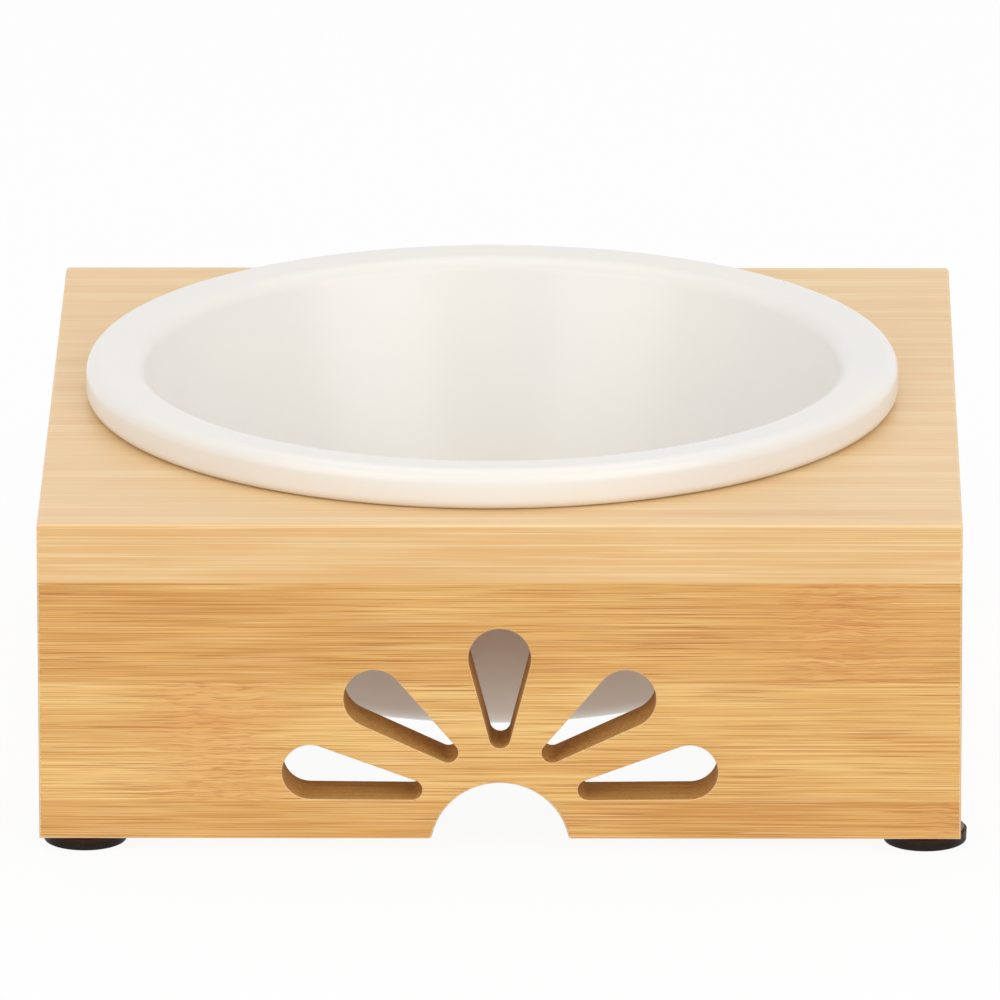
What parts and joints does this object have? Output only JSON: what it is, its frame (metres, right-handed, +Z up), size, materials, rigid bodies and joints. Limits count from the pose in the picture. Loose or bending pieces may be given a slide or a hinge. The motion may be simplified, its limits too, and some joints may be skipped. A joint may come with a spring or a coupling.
{
  "type": "pet bowl with stand",
  "caption": "Square bamboo box stand with a fan of petal cut-outs and a half-round notch in its front and back, on rubber feet, with a lipped white ceramic bowl that lifts out.",
  "frame": {"origin": "on the floor, below the middle of the square stand", "axes": "+X to the right seen from the front panel, +Y to the back panel, +Z up"},
  "size_m": [0.1813, 0.18, 0.0752],
  "materials": {
    "bamboo_top": "satin clear lacquer over pale side-pressed bamboo",
    "bamboo_panel": "satin clear lacquer over golden flat-pressed bamboo",
    "white_glaze": "smooth warm white glaze",
    "black_rubber": "moulded black rubber, slightly glossy",
    "foot_adhesive": "dark double-sided adhesive film",
    "dowel_wood": "plain turned hardwood"
  },
  "bodies": {
    "stand": {"top_board": "bamboo_top", "front_panel": "bamboo_panel", "back_panel": "bamboo_panel", "left_side_panel": "bamboo_panel", "right_side_panel": "bamboo_panel", "front_left_foot": "black_rubber", "front_right_foot": "black_rubber", "back_left_foot": "black_rubber", "back_right_foot": "black_rubber", "front_left_foot_adhesive": "foot_adhesive", "front_right_foot_adhesive": "foot_adhesive", "back_left_foot_adhesive": "foot_adhesive", "back_right_foot_adhesive": "foot_adhesive", "top_front_dowels": "dowel_wood", "top_back_dowels": "dowel_wood", "top_left_dowels": "dowel_wood", "top_right_dowels": "dowel_wood", "front_left_corner_dowels": "dowel_wood", "front_right_corner_dowels": "dowel_wood", "back_left_corner_dowels": "dowel_wood", "back_right_corner_dowels": "dowel_wood"},
    "bowl": {"bowl": "white_glaze"}
  },
  "joints": [
    {"name": "bowl_lift", "type": "slide", "parent": "stand", "child": "bowl", "axis": [0, 0, 1], "range_m": [0, 0.075]}
  ]
}
